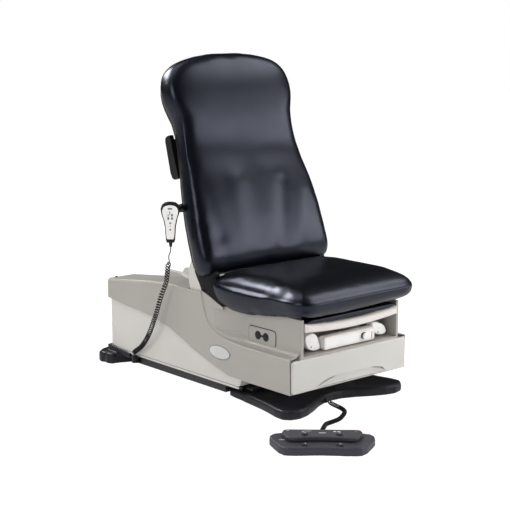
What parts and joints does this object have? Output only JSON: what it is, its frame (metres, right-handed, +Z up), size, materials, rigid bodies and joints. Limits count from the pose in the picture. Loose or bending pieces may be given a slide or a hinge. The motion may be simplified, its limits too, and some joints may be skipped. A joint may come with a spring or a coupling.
{
  "type": "exam table",
  "caption": "Powered barrier free exam table with lifting seat, reclining back, front storage bay, hand control and foot control.",
  "frame": {"origin": "on the floor under the middle of the front foot, on the centreline", "axes": "+Z up, -Y towards the foot end where the patient's legs are, +X to the patient's left"},
  "size_m": [0.9034, 1.6103, 1.2696],
  "materials": {
    "shroud": "moulded cover, warm grey, fine texture",
    "pale_shroud": "moulded cover, pale grey, fine texture",
    "foot": "dark grey moulding, satin",
    "frame": "black powder coat",
    "vinyl": "black upholstery vinyl, satin",
    "steel": "bright steel",
    "white_plastic": "white moulding",
    "black_plastic": "black moulding",
    "board": "plywood with a dark cover",
    "plated_steel": "zinc plated"
  },
  "bodies": {
    "base": {"base_frame": "frame", "front_foot": "foot", "rear_foot": "foot", "lower_shroud": "pale_shroud", "column_outer": "steel", "lift_motor": "plated_steel", "control_box": "black_plastic", "mains_inlet": "black_plastic", "handset_cord_gland": "black_plastic", "handset_cord": "black_plastic", "foot_cord": "black_plastic", "foot_control_base": "foot", "foot_control_bar": "foot", "foot_control_strain_relief": "black_plastic"},
    "column_middle": {"column_middle": "steel"},
    "backrest": {"back_cushion": "vinyl", "back_board": "board", "back_shell": "black_plastic", "back_frame": "frame", "hinge_cover_left": "pale_shroud", "hinge_cover_right": "pale_shroud", "roll_cheek_left": "black_plastic", "roll_cheek_right": "black_plastic", "handset_hook": "black_plastic"},
    "drive_rod": {"back_drive_rod": "steel"},
    "roll_spindle": {"roll_spindle": "steel"},
    "handset": {"handset_body": "black_plastic", "handset_face": "white_plastic", "handset_strain_relief": "black_plastic"},
    "extension": {"extension_tray": "white_plastic", "extension_pad": "vinyl"},
    "stirrup_left": {"stirrup_bar_left": "steel", "stirrup_end_left": "white_plastic"},
    "stirrup_right": {"stirrup_bar_right": "steel", "stirrup_end_right": "white_plastic"},
    "pan": {"pan": "white_plastic", "pan_knob": "white_plastic"},
    "drawer": {"drawer": "pale_shroud"},
    "button_bar_left": {"button_bar_left": "black_plastic"},
    "button_bar_right": {"button_bar_right": "black_plastic"},
    "button_low_left": {"button_low_left": "black_plastic"},
    "button_low_right": {"button_low_right": "black_plastic"},
    "lift": {"column_inner": "steel", "seat_frame": "frame", "back_pivot_pin_left": "steel", "back_pivot_pin_right": "steel", "seat_board": "board", "seat_cushion": "vinyl", "upper_shroud": "shroud", "badge": "white_plastic", "outlet_plate": "pale_shroud", "outlet_socket_front": "black_plastic", "outlet_socket_rear": "black_plastic", "deck_plug": "black_plastic", "stirrup_guide_left": "plated_steel", "stirrup_guide_right": "plated_steel", "extension_runner_left": "plated_steel", "extension_runner_right": "plated_steel", "back_drive_housing": "black_plastic", "back_drive_cover": "pale_shroud"}
  },
  "joints": [
    {"name": "lift_slide", "type": "slide", "parent": "base", "child": "lift", "axis": [0, 0, 1], "range_m": [0, 0.42]},
    {"name": "middle_slide", "type": "slide", "parent": "base", "child": "column_middle", "axis": [0, 0, 1], "range_m": [0, 0.21]},
    {"name": "back_recline", "type": "hinge", "parent": "lift", "child": "backrest", "pos_m": [0, 0.306, 0.436], "axis": [-1, 0, 0], "range_deg": [0, 69]},
    {"name": "drive_rod_slide", "type": "slide", "parent": "lift", "child": "drive_rod", "axis": [0, -1, 0], "range_m": [0, 0.0961]},
    {"name": "roll_spin", "type": "hinge", "parent": "backrest", "child": "roll_spindle", "pos_m": [0, 0.5186, 0.8787], "axis": [1, 0, 0], "continuous": true},
    {"name": "handset_swing", "type": "hinge", "parent": "backrest", "child": "handset", "pos_m": [-0.378, 0.411, 0.704], "axis": [1, 0, 0], "range_deg": [-12, 70]},
    {"name": "extension_slide", "type": "slide", "parent": "lift", "child": "extension", "axis": [0, -1, 0], "range_m": [0, 0.2]},
    {"name": "stirrup_slide_left", "type": "slide", "parent": "lift", "child": "stirrup_left", "axis": [0, -1, 0], "range_m": [0, 0.28]},
    {"name": "stirrup_slide_right", "type": "slide", "parent": "lift", "child": "stirrup_right", "axis": [0, -1, 0], "range_m": [0, 0.28]},
    {"name": "pan_slide", "type": "slide", "parent": "lift", "child": "pan", "axis": [0, -1, 0], "range_m": [0, 0.2]},
    {"name": "drawer_slide", "type": "slide", "parent": "lift", "child": "drawer", "axis": [0, -1, 0], "range_m": [0, 0.2]},
    {"name": "button_bar_left_press", "type": "slide", "parent": "base", "child": "button_bar_left", "axis": [0, 0, -1], "range_m": [0, 0.003], "stiffness_N_per_m": 600},
    {"name": "button_bar_right_press", "type": "slide", "parent": "base", "child": "button_bar_right", "axis": [0, 0, -1], "range_m": [0, 0.003], "stiffness_N_per_m": 600},
    {"name": "button_low_left_press", "type": "slide", "parent": "base", "child": "button_low_left", "axis": [0, 0, -1], "range_m": [0, 0.003], "stiffness_N_per_m": 600},
    {"name": "button_low_right_press", "type": "slide", "parent": "base", "child": "button_low_right", "axis": [0, 0, -1], "range_m": [0, 0.003], "stiffness_N_per_m": 600}
  ],
  "couplings": [
    {"joint": "middle_slide", "follows": "lift_slide", "ratio": 0.5},
    {"joint": "drive_rod_slide", "follows": "back_recline", "m_per_rad": 0.07971}
  ]
}
